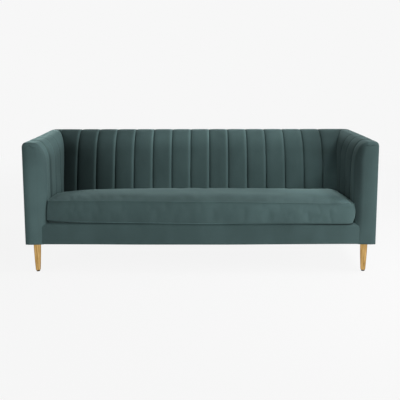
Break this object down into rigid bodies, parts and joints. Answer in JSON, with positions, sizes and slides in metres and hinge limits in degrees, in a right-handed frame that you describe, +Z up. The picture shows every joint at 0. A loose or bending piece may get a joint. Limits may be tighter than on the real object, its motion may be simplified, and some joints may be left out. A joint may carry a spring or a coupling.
{
  "type": "tuxedo sofa",
  "caption": "Channel-tufted tuxedo sofa in deep teal velvet with a loose bench seat cushion, back and arms of one height, and slender tapered brass legs.",
  "frame": {"origin": "on the floor, under the centre of the sofa's bounding box", "axes": "+Z up; +X along the seat, towards the right as seen from in front; the sofa faces -Y"},
  "size_m": [2.12, 0.8, 0.799],
  "materials": {
    "teal_velvet": "cut-pile velvet, deep teal green, brushed",
    "teal_velvet_panel": "cut-pile velvet stretched flat over board",
    "hardwood": "planed, unfinished",
    "hardboard": "smooth pressed board",
    "spring_steel": "drawn wire, lightly oiled",
    "deck_cloth": "black non-woven platform cloth",
    "cushion_foam": "cut polyurethane foam",
    "brushed_brass": "brushed, satin lacquered",
    "zinc_plate": "zinc plated",
    "glide_plastic": "moulded, matt black",
    "zip_tape": "woven tape with moulded teeth"
  },
  "bodies": {
    "sofa_base": {"inside_arm_pad_left": "teal_velvet", "outside_arm_panel_left": "teal_velvet_panel", "inside_arm_pad_right": "teal_velvet", "outside_arm_panel_right": "teal_velvet_panel", "inside_back_pad": "teal_velvet", "outside_back_panel": "teal_velvet_panel", "front_rail_cover": "teal_velvet", "front_rail": "hardwood", "back_rail": "hardwood", "spring_rail": "hardwood", "seat_stretcher": "hardwood", "back_top_rail": "hardwood", "back_upright_middle": "hardwood", "side_rail_left": "hardwood", "side_rail_right": "hardwood", "front_post_left": "hardwood", "front_post_right": "hardwood", "rear_post_left": "hardwood", "rear_post_right": "hardwood", "arm_top_rail_left": "hardwood", "arm_top_rail_right": "hardwood", "back_upright_left": "hardwood", "back_upright_right": "hardwood", "front_corner_block_left": "hardwood", "front_corner_block_right": "hardwood", "rear_corner_block_left": "hardwood", "rear_corner_block_right": "hardwood", "arm_liner_left": "hardboard", "arm_liner_right": "hardboard", "seat_spring_1": "spring_steel", "seat_spring_2": "spring_steel", "seat_spring_3": "spring_steel", "seat_spring_4": "spring_steel", "seat_spring_5": "spring_steel", "seat_spring_6": "spring_steel", "seat_spring_7": "spring_steel", "seat_spring_8": "spring_steel", "seat_spring_9": "spring_steel", "seat_spring_10": "spring_steel", "seat_deck": "deck_cloth", "dust_cover": "deck_cloth", "leg_plate_front_left": "zinc_plate", "leg_front_left": "brushed_brass", "glide_front_left": "glide_plastic", "leg_plate_front_right": "zinc_plate", "leg_front_right": "brushed_brass", "glide_front_right": "glide_plastic", "leg_plate_rear_left": "zinc_plate", "leg_rear_left": "brushed_brass", "glide_rear_left": "glide_plastic", "leg_plate_rear_right": "zinc_plate", "leg_rear_right": "brushed_brass", "glide_rear_right": "glide_plastic"},
    "seat_cushion": {"cushion_cover": "teal_velvet", "cushion_core": "cushion_foam", "cushion_zip": "zip_tape"},
    "zip_slider": {"zip_slider": "brushed_brass"}
  },
  "joints": [
    {"name": "seat_cushion_lift", "type": "slide", "parent": "sofa_base", "child": "seat_cushion", "axis": [0, 0, 1], "range_m": [0, 0.54]},
    {"name": "zip_slider_travel", "type": "slide", "parent": "seat_cushion", "child": "zip_slider", "axis": [-1, 0, 0], "range_m": [0, 1.53]}
  ]
}
